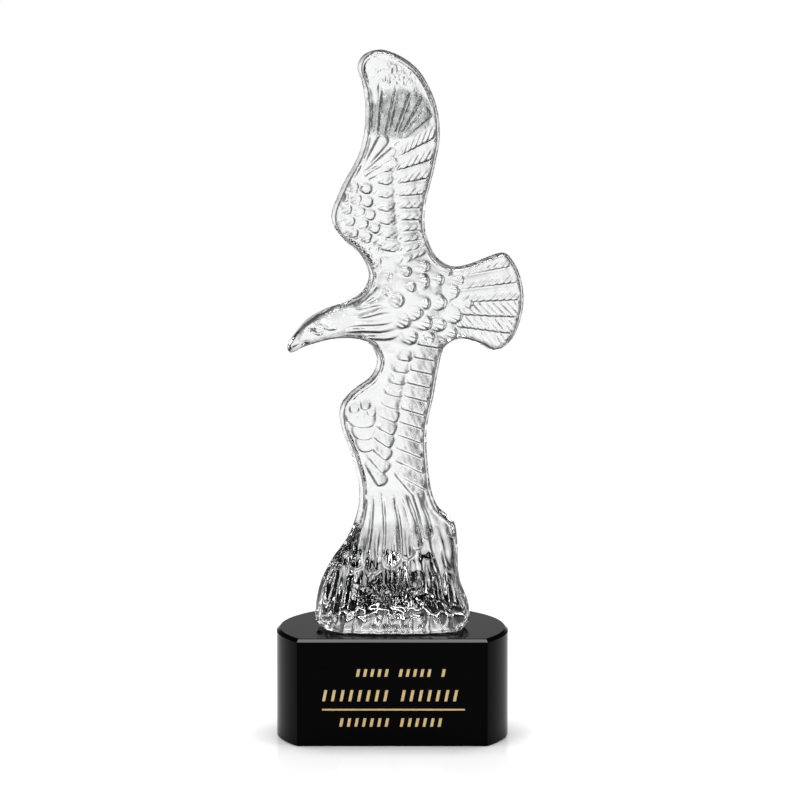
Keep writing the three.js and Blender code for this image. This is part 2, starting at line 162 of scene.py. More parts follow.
crystalLook = {
    "colour": (0.965, 0.968, 0.97, 1.0),
    "shader": {"Roughness": 0.0, "IOR": 1.52, "Transmission Weight": 1.0},
    "rippleScale": 520.0, "ripple": (0.00001, 0.00014), "rippleFrom": (0.07, 0.1),
    # the frost patch on the upper wing is really rough and pebbled; its grey colour is painted shade, darker
    # than the clear crystal
    "frost": 0.16, "paintedFrostShade": (0.44, 0.445, 0.45, 1.0), "mottle": (0.35, 0.6, 0.35),
    "frostMiddle": (0.0032, 0.2738), "frostSize": (0.0152, 0.0108), "frostSlant": 0.12,
    "frostRagged": 0.3, "ragScale": 210.0, "ragStretch": (1, 1, 0.4), "frostEdge": (0.86, 1.02),
    "pebbles": 0.00045, "pebbleScale": 700.0,
}


def crystalSkin(finish):
    place = finish.place()
    lively = finish.axis(place, 2).step(*crystalLook["rippleFrom"])     # calmer in the foot than in the bird
    ripple = finish.grain(place, crystalLook["rippleScale"], detail=1.0)
    low, high, least = crystalLook["mottle"]
    mottle = finish.grain(place, crystalLook["rippleScale"], detail=3.0).step(low, high).between(least, 1)
    ragged = finish.grain(place, crystalLook["ragScale"], detail=3.0, stretch=crystalLook["ragStretch"])
    sideways = finish.axis(place, 0) - crystalLook["frostMiddle"][0]
    upwards = finish.axis(place, 2) - crystalLook["frostMiddle"][1] - sideways * crystalLook["frostSlant"]
    sideways = sideways / crystalLook["frostSize"][0]
    upwards = upwards / crystalLook["frostSize"][1]
    square = sideways * sideways + upwards * upwards
    edge = square.math("SQRT") + ragged.between(-1, 1) * crystalLook["frostRagged"]
    zone = 1 - edge.step(*crystalLook["frostEdge"])
    frost = zone * mottle
    pebbled = finish.grain(place, crystalLook["pebbleScale"], detail=1.5) * zone * crystalLook["pebbles"]
    height = (ripple * lively.between(*crystalLook["ripple"]) + pebbled) * (1 / mm)
    # inside the frost patch the colour goes towards painted grey shade; the roughness below is the real
    # frosting
    colour = finish.blend(frost, crystalLook["colour"], crystalLook["paintedFrostShade"])
    roughness = frost * crystalLook["frost"]
    return {"Base Color": colour, "Roughness": roughness, "Normal": finish.bump(height, mm)}


blackLook = {
    "colour": (0.0012, 0.0012, 0.0014, 1.0),
    "shader": {"IOR": 1.086},
    "smear": (0.02, 0.06), "smearScale": 14.0,   # wiped glass is never quite even
    "smearFrom": (0.35, 0.7),
    "polish": 0.36, "polished": (0.0461, 0.0472), "flatFrom": 0.0277, "crisp": 0.0001,
}


def blackSkin(finish):
    place = finish.place()
    smear = finish.grain(place, blackLook["smearScale"], detail=4.0)
    low, high = blackLook["polished"]
    crisp, flatFrom = blackLook["crisp"], blackLook["flatFrom"]
    over = finish.axis(place, 2).step(low, low + crisp)
    under = 1 - finish.axis(place, 2).step(high, high + crisp)
    before = (0 - finish.axis(place, 1)).step(flatFrom, flatFrom + crisp)
    bevel = over * under * before                # the bevel along the flat shines more
    return {"Roughness": smear.step(*blackLook["smearFrom"]).between(*blackLook["smear"]),
            "Coat Weight": bevel * blackLook["polish"]}


goldLook = {
    "colour": (0.72, 0.50, 0.23, 1.0),
    "shader": {"Metallic": 0.25, "Roughness": 0.42, "IOR": 1.45},
    "pale": (0.80, 0.60, 0.32, 1.0), "flake": 2600.0, "flakeFrom": (0.35, 0.65), "flakeRelief": 0.00002,
}


def goldSkin(finish):
    flake = finish.grain(finish.place(), goldLook["flake"], detail=2.0)
    colour = finish.blend(flake.step(*goldLook["flakeFrom"]), goldLook["colour"], goldLook["pale"])
    return {"Base Color": colour, "Normal": finish.bump(flake, goldLook["flakeRelief"])}


crystal = newMaterial("clear crystal", crystalLook["colour"], crystalLook["shader"], crystalSkin)
blackGlass = newMaterial("black glass", blackLook["colour"], blackLook["shader"], blackSkin)
goldFill = newMaterial("gold fill", goldLook["colour"], goldLook["shader"], goldSkin)
print("finishes ready")


# The casting's outline, read off the frame's eagle: the crease round its side wall lies in the plane y = 0

casting = {
    "foot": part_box("eagle")[0][2] / mm,          # height of the frame's underside
    "sunk": 0.25,                                # how far the underside goes down towards the block's top
    "pitch": 0.9,         # of the back's mesh; the front's is half that
    "overhang": 0.3,                             # how far out a point of the grid may lie, in pitches
    "ringCuts": 4, "wallRows": 3, "snaps": 3, "smoothing": 4,
    "onFace": 0.999,                             # the two faces lie at -1 and 1 until they are sculpted
}
foot = {
    "halfWidth": 33.9, "halfDepth": 20.8, "plan": 2.3, "top": 106, "flare": 1.5,
    "lip": 2.6, "lipShare": 0.8, "drop": 2.2, "dropBy": 0.25,
    "sideRound": (8.0, 4.5), "sideDepth": 4.5,   # how far in the left and right flanks round off
    "sideBlend": (0, 20),
}
flutes = {
    "pitch": 6.8, "pitchAtTop": 0.55, "depth": 2.3, "depthAtRim": 0.25, "fades": (49, 60),
    "sway": (0.45, 0.21), "sharp": 1.3,          # the pipes wander a little and meet in sharp valleys
    "broad": (0.4, 0.37, 0.11),                  # share, pitch and slant of a broader wave under them
}
wall = {                                         # the side wall: half its depth, and its outward bulge
    "atCentre": 4.2, "perX": 0.07, "least": 2.7, "most": 6, "bulge": 1.5, "bulgeFades": (0.1, 1.5),
}
draft = {                                        # how far the rim's front edge lies inside the crease
    "mean": 1.2, "lean": 0.45, "top": -0.5, "under": 0.3, "aboveFoot": (106, 116),
    "beak": 0.3, "beakFrom": (-46, -36),
}
crown = {"front": 1.4, "back": 1.0, "reach": 8}  # the middle is fuller than the rim
swells = [                                       # the body and the head
    {"x": 9, "z": 191, "rx": 24, "rz": 17, "tilt": 0, "front": 5.2, "back": 3.2},
    {"x": -26, "z": 180, "rx": 16, "rz": 6.5, "tilt": 15, "front": 3.0, "back": 1.2},
]


def ringFromFrame():
    bm = bmesh.new()
    bm.from_mesh(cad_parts["eagle"].data)
    bmesh.ops.remove_doubles(bm, verts=bm.verts, dist=touch * mm)
    crease = [e for e in bm.edges if all(abs(v.co.y) < 0.1 * touch * mm for v in e.verts)]
    low = casting["foot"] + touch
    links = {}
    for e in crease:
        if max(v.co.z for v in e.verts) / mm > low:
            for v in e.verts:
                links.setdefault(v, []).append(e.other_vert(v))
    ends = [v for v, near in links.items() if len(near) == 1]
    walk = [max(ends, key=lambda v: v.co.x)]
    while len(walk) < len(links):
        walk.append(next(v for v in links[walk[-1]] if len(walk) < 2 or v is not walk[-2]))
    ring = np.array([(v.co.x / mm, v.co.z / mm) for v in walk])
    bm.free()
    return ring


def smoothRing(ring, cuts):                      # Catmull-Rom between the frame's points
    padded = np.vstack([2 * ring[0] - ring[1], ring, 2 * ring[-1] - ring[-2]])
    p0, p1, p2, p3 = padded[:-3], padded[1:-2], padded[2:-1], padded[3:]
    points = []
    for t in np.arange(cuts) / cuts:
        points.append(0.5 * (2 * p1 + (p2 - p0) * t + (2 * p0 - 5 * p1 + 4 * p2 - p3) * t ** 2
                             + (3 * p1 - p0 - 3 * p2 + p3) * t ** 3))
    dense = np.stack(points, axis=1).reshape(-1, 2)
    down = np.array([0, 20])                     # both ends go on below the foot
    return np.vstack([ring[0] - down, dense, ring[-1], ring[-1] - down])


outline = smoothRing(ringFromFrame(), casting["ringCuts"])


def measure(x, z):                               # distance inside the front edge, outward direction, draft
    a, b = outline[:-1], outline[1:]
    d = b - a
    length = np.hypot(d[:, 0], d[:, 1])
    normal = np.stack([d[:, 1], -d[:, 0]], axis=1) / length[:, None]
    corner = np.vstack([normal[0], (normal[:-1] + normal[1:]) / 2, normal[-1]])
    distance = np.empty(len(x))
    outward = np.empty((len(x), 2))
    chunk = 4000                                 # so many points at a time, to spare memory
    for start in range(0, len(x), chunk):
        part = slice(start, start + chunk)
        px = x[part, None] - a[:, 0]
        pz = z[part, None] - a[:, 1]
        t = np.clip((px * d[:, 0] + pz * d[:, 1]) / length ** 2, 0, 1)
        square = (px - t * d[:, 0]) ** 2 + (pz - t * d[:, 1]) ** 2
        k = square.argmin(axis=1)
        rows = np.arange(len(k))
        above = a[:, 1] > z[part, None]
        crosses = (above != (b[:, 1] > z[part, None]))
        level = np.where(d[:, 1] == 0, 1e-9, d[:, 1])
        crosses &= px < pz / level * d[:, 0]
        inside = crosses.sum(axis=1) % 2 == 1
        distance[part] = np.sqrt(square[rows, k]) * np.where(inside, 1, -1)
        share = t[rows, k][:, None]
        outward[part] = mix(corner[k], corner[k + 1], share)
    outward /= np.hypot(outward[:, 0], outward[:, 1])[:, None]
    rise = np.where(outward[:, 1] > 0, draft["top"], draft["under"]) * outward[:, 1]
    rise *= smoothStep(z, *draft["aboveFoot"])
    step = draft["mean"] - draft["lean"] * outward[:, 0] + rise
    step *= mix(draft["beak"], 1, smoothStep(x, *draft["beakFrom"]))
    return distance - step, outward, step


# Feathers, laid out as the frame's are

def feather(root, tip, width, lift, raised=0, taper=0.75, blunt=1.0, bend=0.0, curl=0.0, floor=0.12,
            emerge=0.4, sink=0.0, roll=1.4, barbs=None):
    length = math.dist(root, tip)
    along = ((tip[0] - root[0]) / length, (tip[1] - root[1]) / length)
    return {"root": root, "length": length, "dir": along, "width": width, "lift": lift, "raised": raised,
            "taper": taper, "round": width / 2 * blunt, "bend": bend, "curl": curl, "floor": floor,
            "emerge": emerge, "sink": sink, "roll": roll, "barbs": barbs}


def vane(start, end, width, lift, taper=1.0, emerge=0.12, roll=1.6, **options):     # set by its lower edge
    length = math.dist(start, end)
    half = (-(end[1] - start[1]) / length * width / 2, (end[0] - start[0]) / length * width / 2)
    root = (start[0] + half[0] * taper, start[1] + half[1] * taper)
    tip = (end[0] + half[0], end[1] + half[1])
    return feather(root, tip, width, lift, raised=-1, taper=taper, emerge=emerge, roll=roll, **options)


def spot(i, line):                               # x and z of place i in a row. The line gives the first
    return tuple(a + b * i + c * i * i for a, b, c in line)      # value, the step to the next and a bend


def row(places, start, end):                     # both ends of each feather in a row
    return [(spot(i, start), spot(i, end)) for i in places]


lifts = {
    "primary": 2.3, "vane": 2.8, "covert": 2.5, "scallop": 1.8, "scale": 2.9, "smallScale": 1.45,
    "lock": 2.5, "tail": 2.5, "wrist": 2.0, "overRock": 2.6, "crossing": 1.96, "beak": 0.8,
}
rising = {"kind": "slant", "angle": 36, "pitch": 1.8, "depth": 0.55, "share": (-1.0, 0.2), "sharp": 1.4}
falling = {"kind": "slant", "angle": -48, "pitch": 2.4, "depth": 0.1, "share": (-1.0, 0.7), "sharp": 1.5}
tailFalling = {"kind": "slant", "angle": -44, "pitch": 2.2, "depth": 0.6, "share": (-1.0, 0.9),
               "sharp": 1.4}
fanned = {"kind": "fan", "count": 6, "spread": 80, "behind": 0.15, "depth": 0.8, "from": (0.35, 0.7),
          "sharp": 1.6}

upperWing = {
    "primaries": [                               # start, end, width, taper
        ((-7.6, 262), (-4.9, 291), 7.6, 0.6), ((-3.0, 262), (2.5, 288.5), 7.6, 0.6),
        ((0.6, 263), (9.1, 285.5), 6.8, 0.55), ((4.0, 264), (14.2, 283), 6.2, 0.5),
        ((3.2, 260.5), (20.4, 275.5), 6.6, 0.5), ((3.6, 257.6), (25, 268.2), 6.4, 0.6),
    ],
    "vanes": (((-1.6, 0, 0.05), (252.9, -5.07, 0)), ((24, 0, 0), (266.2, -10.569, 0.572))),
    "vaneWidth": (10.6, 1.1, 3.6), "vaneRoot": 6.2,      # the first, what each next one loses, the least
    "coverts": (((-10, 0, 0), (247.5, -5.8, 0)), ((2.3, 0, 0.13), (245.5, -5.8, 0))),
    "shortCoverts": (((-16.2, 0, 0.41), (244, -6, 0)), ((-8.2, 0, 0.41), (241.2, -5.6, 0))),
    "scallops": (((-23, 1.4, 0), (244.4, -5.4, 0)), ((-13.8, 1.4, 0), (241.6, -5.4, 0))),
    "outerScallops": (((-26, 1, 0), (239.6, -5.2, 0)), ((-18.2, 1.4, 0), (237.4, -5.2, 0))),
    "wrist": [((-15.5, 244.5), (3.2, 254.6), 6.4), ((-14, 247.5), (2.4, 259.6), 5.4),
              ((-13, 250), (-2.4, 265.4), 7)],
}


def upperFeathers():
    made = []
    for start, end, width, taper in upperWing["primaries"]:
        made.append(vane(start, end, width, lifts["primary"], taper=taper, floor=0.3, sink=0.3, emerge=0.25))
    widest, loss, least = upperWing["vaneWidth"]
    for i, (start, end) in enumerate(row(range(10), *upperWing["vanes"])):
        width = max(least, widest - loss * i)
        made.append(vane(start, end, width, lifts["vane"], taper=upperWing["vaneRoot"] / width, emerge=0.3,
                         barbs=rising))
    for root, tip in row(range(-1, 6), *upperWing["coverts"]):
        made.append(feather(root, tip, 7.0, lifts["covert"], raised=-1, blunt=0.9, sink=0.42, emerge=0.6,
                            barbs=rising))
    for root, tip in row(range(5), *upperWing["shortCoverts"]):
        made.append(feather(root, tip, 6.2, lifts["covert"], raised=-1, blunt=0.9, sink=0.2, emerge=0.6,
                            barbs=rising))
    for root, tip in row(range(5), *upperWing["scallops"]):
        made.append(feather(root, tip, 6.8, lifts["scallop"], emerge=0.7, sink=0.2, barbs=rising))
    for root, tip in row(range(4), *upperWing["outerScallops"]):
        made.append(feather(root, tip, 6.4, lifts["scallop"], emerge=0.7, sink=0.2, barbs=rising))
    for root, tip, width in upperWing["wrist"]:
        made.append(feather(root, tip, width, lifts["wrist"], raised=1, taper=0.4, floor=0.3))
    return made


lowerWing = {
    "vanes": (((7, -1.9, 0.1), (167.8, -5.6, 0)), ((23, 0, 0), (164.4, -6.23, -0.063))),
    "crossing": [((1.4, 119.4), (18, 104.4)), ((-1, 117.5), (16.5, 96.5))],
    "covertTips": ((10.5, -1.35, 0), (168.4, -5.3, -0.045)),
    "covertReach": (10, 0.55), "covertTurn": (-7, -5.1, 0.7),    # each next one is longer and steeper
    "deepSunk": 5,                               # so many of the coverts sink far under the vanes
    "lobes": [((-12.6, 147), (-13.4, 136.2), 15, 0.5), ((-11.5, 141), (-13.2, 130.8), 12.5, 0.8),
              ((-11, 136), (-12, 125.6), 11, 1.0)],
    "scallops": ((-18.6, 138.8), (-13.6, 139.6), (-9, 141), (-16.4, 142.6), (-11.6, 144)),
    "scallopRoot": (-0.4, 7),
    "overRock": [                                # root, tip, width, bend, taper
        ((-10.8, 110), (-16.4, 74.2), 9.0, 0.9, 0.58), ((-6.8, 109.5), (-9.4, 72.2), 9.4, 1.6, 0.58),
        ((-2.2, 108.5), (-0.4, 75), 10.0, 1.2, 0.6), ((2.2, 106.5), (6.6, 78.4), 7.2, 1.4, 0.65),
        ((4.4, 108), (11.4, 82.5), 5.8, 0.8, 0.65), ((8.6, 111), (16, 87), 5.8, 0.6, 0.65),
    ],
}


def lowerFeathers():
    made = []
    for start, end in row(range(-1, 10), *lowerWing["vanes"]):
        made.append(vane(start, end, 7.0, lifts["vane"], emerge=0.25, barbs=falling))
    for start, end in lowerWing["crossing"]:
        made.append(vane(start, end, 6.4, lifts["crossing"], sink=0.4, barbs=falling))
    shortest, longer = lowerWing["covertReach"]
    firstTurn, turning, growth = lowerWing["covertTurn"]
    for k in range(11):
        tip = spot(k, lowerWing["covertTips"])
        angle = math.radians(firstTurn + turning * k * (k / 10) ** growth)
        reach = shortest + longer * k
        root = (tip[0] - reach * math.cos(angle), tip[1] - reach * math.sin(angle))
        made.append(feather(root, tip, 6.8, lifts["covert"], raised=-1, blunt=0.9, taper=0.9,
                            sink=0.42 if k < lowerWing["deepSunk"] else 0.15, emerge=0.5, barbs=falling))
    for root, tip, width, blunt in lowerWing["lobes"]:
        made.append(feather(root, tip, width, lifts["scallop"], taper=0.9, blunt=blunt, emerge=0.6))
    dx, dz = lowerWing["scallopRoot"]
    for x, z in lowerWing["scallops"]:
        made.append(feather((x + dx, z + dz), (x, z), 5.8, lifts["scallop"], taper=0.9, emerge=0.7,
                            sink=0.2))
    for root, tip, width, bend, taper in lowerWing["overRock"]:
        made.append(feather(root, tip, width, lifts["overRock"], taper=taper, bend=bend, floor=0.75,
                            emerge=0.2))
    return made


body = {
    "scales": [                                  # x, z, width
        (10.3, 199.2, 6.6), (16, 201.2, 8.4), (22.3, 202, 7.2), (29.2, 196.4, 8.8), (5.1, 193.1, 8.4),
        (23.3, 191.9, 9.2), (16.5, 191.9, 7.0), (35, 191.6, 8.4), (13, 187.6, 8.8), (30.5, 186.1, 10),
        (7.8, 184.1, 9.1), (17.3, 183, 8.8), (23.3, 182, 7.6), (11.1, 176.5, 8), (18.5, 176, 7.6),
        (28.5, 178, 7), (24, 174.5, 5), (26, 205.4, 5.4), (8.2, 205.6, 6), (16, 207.6, 6),
        (31.5, 201.4, 6),
    ],
    "scaleRoot": (-9.5, 2.2), "scaleTip": (0.4, -0.4), "smallRoot": (-9, 2.2),
    "smallScales": [(0.8, 203, 6.5), (0.2, 196.6, 6.5), (-4.6, 207, 6)],
    "tail": (((25, 0, 0), (202, -5.2, 0)), ((60, 0, 0), (208.6, -8.1, 0))),
    "tailRising": 3,                             # so many of its feathers, from the top, have rising barbs
    "locks": [                                   # start, end, bend, curl
        ((-14.5, 176), (4.4, 177.6), -1.5, 0.3), ((-22, 178.4), (3.4, 181.2), -1.0, 0.7),
        ((-22, 180.6), (3.4, 183.9), -0.4, 0.5), ((-18, 184.8), (2.4, 187.8), 0.1, -0.4),
        ((-20, 188.2), (0.4, 191), 0.2, -0.4), ((-21.5, 187.4), (-1.6, 198.6), -1.4, -0.4),
    ],
    "beak": ((-35, 180.6), (-45.3, 172.6), 5.4),
}


def bodyFeathers():
    made = []
    for x, z, width in body["scales"]:
        root = (x + body["scaleRoot"][0], z + body["scaleRoot"][1])
        tip = (x + body["scaleTip"][0], z + body["scaleTip"][1])
        made.append(feather(root, tip, width, lifts["scale"], taper=0.8, blunt=1.1, emerge=0.95,
                            barbs=fanned))
    for x, z, width in body["smallScales"]:
        root = (x + body["smallRoot"][0], z + body["smallRoot"][1])
        made.append(feather(root, (x, z), width, lifts["smallScale"], emerge=0.95, barbs=fanned))
    for k, (start, end) in enumerate(row(range(6), *body["tail"])):
        barbs = rising if k < body["tailRising"] else tailFalling
        made.append(vane(start, end, 8.8, lifts["tail"], taper=0.68, emerge=0.2, barbs=barbs))
    for start, end, bend, curl in body["locks"]:
        made.append(vane(start, end, 4.4, lifts["lock"], taper=0.6, bend=bend, curl=curl, floor=0.4,
                         emerge=0.35, sink=0.5))
    made.append(feather(*body["beak"], lifts["beak"], taper=1.1, floor=0.7))
    return made


plumage = upperFeathers() + lowerFeathers() + bodyFeathers()
relief = {
    "dome": 0.3,                                 # how much a feather's crown stands over its sides
    "swoop": 1.1, "tipRise": 0.1,                # how late a vane rises to its thick edge, and to its tip
    "rollMost": 0.4,                             # the rolled edge takes at most this share of the width
    "barbsFrom": (0.3, 1.1), "barbsFade": (0.3, 0.35),
    "bare": 0.2,                                 # where the carving is lower, the rock shows
    "rim": (1.0, 2.1), "rimRound": 0.9,          # a plain rounded border follows the outline
    "rimLevel": (0.8, 1.3), "rimRightFrom": (0, 10), "rimLeftFades": (-24, -14),
    "wave": 0.32, "waveSize": 4.5, "waveLayer": 40.0,
}
faceLines = [                                    # mouth, upper lid, lower lid and the beak's root
    {"points": [(-43.4, 172.9), (-40.6, 174.8), (-38, 174.9), (-35, 174.6)], "half": 0.6, "depth": 0.8},
    {"points": [(-35.6, 180.5), (-33.6, 182), (-31.4, 182.2), (-29.2, 181.8), (-27.4, 181), (-24.5, 181.4)],
     "half": 0.5, "depth": 0.9},
    {"points": [(-35.4, 180.1), (-33.4, 179.1), (-32, 178.8), (-30.4, 179.6)], "half": 0.45, "depth": 0.8},
    {"points": [(-38.6, 182.4), (-37.6, 181.2), (-36.4, 180.7)], "half": 0.8, "depth": 1.3},
]
eye = {"x": -31.4, "z": 180.3, "half": 2.6, "lid": 1.2, "tilt": 4, "height": 0.6}
stipple = {
    "height": 0.84, "size": 1.0, "layer": 9.0, "fades": (0.7, 1.1),
    "patches": [(-12.5, 287, 4, 9), (2, 292, 12, 6), (-18, 219, 7, 5), (-10, 212, 9, 5)],
}


def barbPattern(f, along, across):               # grooves between the barbs of one feather, 0 to 1
    barbs = f["barbs"]
    half = f["width"] / 2
    if barbs["kind"] == "fan":
        behind = barbs["behind"] * f["length"]   # the barbs spread from a point behind the root
        angle = np.degrees(np.arctan2(across, along + behind))
        phase = angle / barbs["spread"] * 2 * math.pi * barbs["count"]
        fade = smoothStep(along / f["length"], *barbs["from"])
    else:
        turn = math.radians(barbs["angle"])
        phase = 2 * math.pi * (along * math.sin(turn) - across * math.cos(turn)) / barbs["pitch"]
        low, high = barbs["share"]
        fadeIn, fadeOut = relief["barbsFade"]
        fade = smoothStep(across / half, low - fadeIn, low)
        fade *= 1 - smoothStep(across / half, high - fadeOut, high)
    return (0.5 + 0.5 * np.cos(phase)) ** barbs["sharp"] * fade


def featherShape(f, x, z):                       # height of one feather, and its grooves
    dx, dz = x - f["root"][0], z - f["root"][1]
    along = dx * f["dir"][0] + dz * f["dir"][1]
    t = np.clip(along / f["length"], 0, 1)
    across = dz * f["dir"][0] - dx * f["dir"][1]
    across -= f["bend"] * 4 * t * (1 - t) + f["curl"] * np.sin(2 * math.pi * t)
    side = f["width"] / 2 * mix(f["taper"], 1, t)
    over = np.maximum(0, (along - f["length"] + f["round"]) / f["round"])
    radius = np.hypot(over, across / side)
    inside = (1 - radius) * np.minimum(side, f["round"])
    edge = smoothStep(inside, 0, min(f["roll"], relief["rollMost"] * f["width"]))
    edge *= smoothStep(t, 0, f["emerge"])
    if f["sink"]:
        edge *= 1 - smoothStep(t, 1 - f["sink"], 1)
    if f["raised"]:
        slope = np.clip((f["raised"] * across / (f["width"] / 2) + 1) / 2, 0, 1) ** relief["swoop"]
        rise = mix(slope, t, relief["tipRise"])
    else:
        rise = t
        edge *= 1 - relief["dome"] * np.clip(across / side, -1, 1) ** 2
    height = f["lift"] * (f["floor"] + (1 - f["floor"]) * rise) * edge
    if not f["barbs"]:
        return height, np.zeros_like(height)
    barbDepth = f["barbs"]["depth"] * smoothStep(inside, *relief["barbsFrom"])
    return height, barbPattern(f, along, across) * barbDepth


def carving(x, z):                               # the highest feather at each point, less its own grooves
    height = np.zeros_like(x)
    grooves = np.zeros_like(x)
    for f in plumage:
        reach = f["length"] + f["width"]
        near = np.flatnonzero(np.hypot(x - f["root"][0], z - f["root"][1]) < reach)
        own, ownGrooves = featherShape(f, x[near], z[near])
        wins = own > height[near]
        height[near[wins]] = own[wins]
        grooves[near[wins]] = ownGrooves[wins]
    return height - grooves


rock = {
    "from": 0.15,                                # where it begins, as a share of the way down the foot
    "ridges": (0.8, 4.2, 20.0),                  # height, pitch across, pitch down
    "ridgesFade": (0.2, 0.7),
    "pebbles": (0.8, 2.6, 53, 73),               # height, size, lowest and highest z
    "pebblesFade": (3, 8), "pebbleMiddle": -1, "pebbleReach": (13, 20),
    "behind": 0.3,                               # the share of it all that the plainer back has
    "layers": (7.0, 3.0),                        # other noise for the back's ridges and pebbles
    "smooth": (51, 56),                          # the band at the rim has none of it, but drops in a row
    "drops": {"x": (-8.1, -3.1, 1.0, 5.5, 12.6), "z": 50.4, "radius": 1.6, "height": 0.6},
}


def nearLine(points, x, z):                      # distance from a line of straight pieces
    least = np.full_like(x, 1e9)
    for (ax, az), (bx, bz) in zip(points[:-1], points[1:]):
        dx, dz = bx - ax, bz - az
        t = np.clip(((x - ax) * dx + (z - az) * dz) / (dx * dx + dz * dz), 0, 1)
        least = np.minimum(least, np.hypot(x - ax - t * dx, z - az - t * dz))
    return least


def face(x, z):                                  # the lines of the head, and the ball of the eye
    depth = np.zeros_like(x)
    for line in faceLines:
        depth -= line["depth"] * np.exp(-(nearLine(line["points"], x, z) / line["half"]) ** 2)
    turn = math.radians(eye["tilt"])
    dx, dz = x - eye["x"], z - eye["z"]
    u = (dx * math.cos(turn) + dz * math.sin(turn)) / eye["half"]
    v = (dz * math.cos(turn) - dx * math.sin(turn)) / eye["lid"]
    return depth + eye["height"] * np.sqrt(np.clip(1 - u * u - v * v, 0, 1))


def bumps(x, z, across, down, layer):            # noise at each point, read off one layer of a solid noise
    return np.array([noise.noise(Vector((a / across, layer, b / down))) for a, b in zip(x, z)])


def stippled(x, z):
    share = np.zeros_like(x)
    for px, pz, rx, rz in stipple["patches"]:
        away = np.hypot((x - px) / rx, (z - pz) / rz)
        share = np.maximum(share, 1 - smoothStep(away, *stipple["fades"]))
    some = share > 0
    share[some] *= bumps(x[some], z[some], stipple["size"], stipple["size"], stipple["layer"])
    return share * stipple["height"]


def downTheFoot(z):                              # 0 at the top of the foot, 1 at its rim
    return np.clip((foot["top"] - z) / (foot["top"] - casting["foot"]), 0, 1)


def rockRelief(side, x, z):
    result = np.zeros_like(x)
    some = downTheFoot(z) > rock["from"]
    sx, sz = x[some], z[some]
    ridgeLayer, pebbleLayer = rock["layers"] if side == "back" else (0.0, 0.0)
    height, across, down = rock["ridges"]
    ridges = height * bumps(sx, sz, across, down, ridgeLayer)
    height, size, low, high = rock["pebbles"]
    fadeIn, fadeOut = rock["pebblesFade"]
    zone = smoothStep(sz, low, low + fadeIn) * (1 - smoothStep(sz, high - fadeOut, high))
    zone *= 1 - smoothStep(np.abs(sx - rock["pebbleMiddle"]), *rock["pebbleReach"])
    pebbles = height * bumps(sx, sz, size, size, pebbleLayer)
    result[some] = ridges * smoothStep(downTheFoot(sz), *rock["ridgesFade"]) + pebbles * zone
    result *= smoothStep(z, *rock["smooth"])
    drops = rock["drops"]
    for middle in drops["x"]:
        away = np.hypot(x - middle, z - drops["z"]) / drops["radius"]
        result += drops["height"] * np.sqrt(np.clip(1 - away * away, 0, 1))
    return result


def flute(x, z, share):
    phase = 2 * math.pi * x / (flutes["pitch"] * mix(flutes["pitchAtTop"], 1, share))
    sway, swayPitch = flutes["sway"]
    pipes = 1 - 2 * np.abs(np.sin(0.5 * phase + sway * np.sin(swayPitch * x))) ** flutes["sharp"]
    broad, pitch, slant = flutes["broad"]
    return (1 - broad) * pipes + broad * np.sin(pitch * phase + slant * z)


def wallDepth(x):
    return np.clip(wall["atCentre"] - wall["perX"] * x, wall["least"], wall["most"])


def formDepth(side, x, z, inset):                # half depth of the smooth form
    depth = wallDepth(x) + crown[side] * (1 - np.exp(-np.maximum(inset, 0) / crown["reach"]))
    for s in swells:
        turn = math.radians(s["tilt"])
        dx, dz = x - s["x"], z - s["z"]
        u = (dx * math.cos(turn) + dz * math.sin(turn)) / s["rx"]
        v = (dz * math.cos(turn) - dx * math.sin(turn)) / s["rz"]
        depth += s[side] * np.exp(-u * u - v * v)
    share = downTheFoot(z)
    across = np.clip(np.abs(x) / foot["halfWidth"], 0, 1)
    plan = np.maximum(0, 1 - across ** foot["plan"]) ** (1 / foot["plan"])
    fluteDepth = flutes["depth"] * mix(flutes["depthAtRim"], 1, smoothStep(z, *flutes["fades"]))
    fluted = foot["halfDepth"] - wall["most"] + fluteDepth * flute(x, z, share)
    flared = wall["most"] + fluted * plan
    sideRound = mix(*foot["sideRound"], smoothStep(x, *foot["sideBlend"]))
    flank = np.clip(1 - np.maximum(inset, 0) / sideRound, 0, 1)
    flared = mix(foot["sideDepth"], flared, np.sqrt(1 - flank * flank))
    dropped = depth - foot["drop"] * smoothStep(share, 0, foot["dropBy"])
    lip = np.clip((casting["foot"] + foot["lip"] - z) / foot["lip"], 0, 1)
    rounded = foot["lip"] * (1 - np.sqrt(1 - lip * lip)) * foot["lipShare"]
    return np.where(share > 0, mix(dropped, flared, share ** foot["flare"]) - rounded, depth)


def waviness(side, x, z):                        # cast glass is never flat
    size = relief["waveSize"]
    return relief["wave"] * bumps(x, z, size, size, relief["waveLayer"] if side == "back" else 0.0)


def surfaceDepth(side, x, z, inset):
    depth = formDepth(side, x, z, inset)
    rough = rockRelief(side, x, z)
    if side == "front":
        carved = carving(x, z) + face(x, z) + stippled(x, z)
        depth += carved + rough * (carved < relief["bare"])
    else:
        depth += rough * rock["behind"]
    depth += waviness(side, x, z)
    level = mix(*relief["rimLevel"], smoothStep(x, *relief["rimRightFrom"]))
    level *= smoothStep(x, *relief["rimLeftFades"])
    rim = formDepth(side, x, z, inset) + level * (side == "front")
    depth = mix(rim, depth, smoothStep(inset, *relief["rim"]))
    near = np.clip(1 - inset / relief["rimRound"], 0, 1)
    return depth - relief["rimRound"] * (1 - np.sqrt(1 - near * near))


def coordinates(bm):
    return np.array([v.co for v in bm.verts])


def moveTo(bm, points):
    for v, p in zip(bm.verts, points):
        v.co = p


